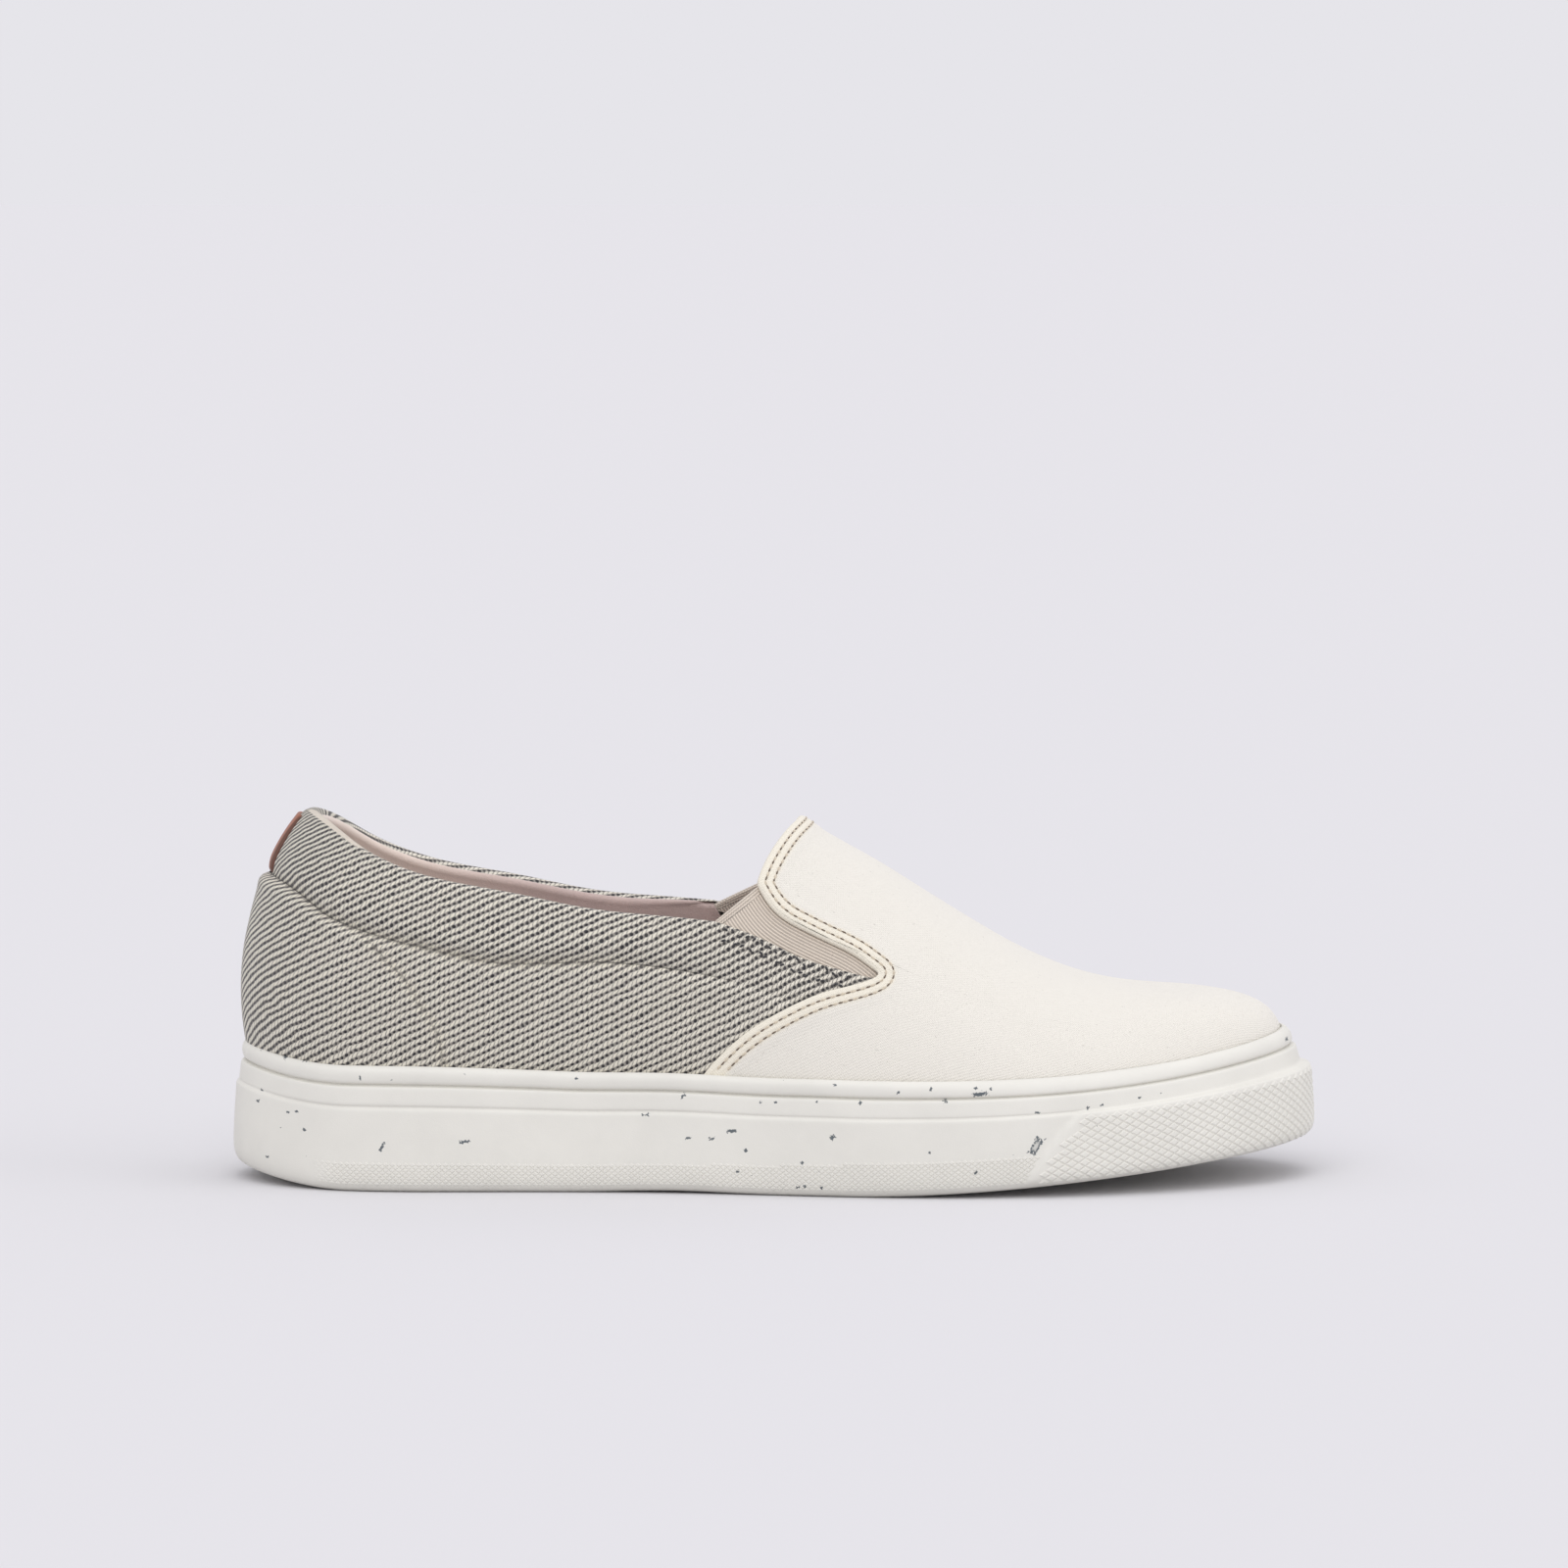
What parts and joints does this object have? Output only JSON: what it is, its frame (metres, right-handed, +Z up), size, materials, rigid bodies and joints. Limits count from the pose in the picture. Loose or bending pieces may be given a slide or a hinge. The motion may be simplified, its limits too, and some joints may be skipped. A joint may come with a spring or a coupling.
{
  "type": "slip-on sneaker",
  "caption": "Low slip-on sneaker for a right foot, with a canvas and twill upper, elastic gores and a rubber cup sole.",
  "frame": {"origin": "on the floor, in the middle of the shoe's outline", "axes": "+Z up, +X towards the toe, +Y towards the inner side of the foot"},
  "size_m": [0.29, 0.1052, 0.0984],
  "materials": {
    "rubber_sole": "moulded off-white rubber with fine dark flecks",
    "upper_cloth": "ivory plain-weave canvas vamp and off-white twill quarters with dotted black lines",
    "elastic": "taupe ribbed elastic",
    "tab_leather": "rust brown smooth leather",
    "insole_cloth": "mauve taupe brushed cloth over foam"
  },
  "bodies": {
    "root": {"cupsole": "rubber_sole", "upper": "upper_cloth", "gore_lateral": "elastic", "gore_medial": "elastic", "heel_tab": "tab_leather", "insole": "insole_cloth"}
  },
  "joints": []
}
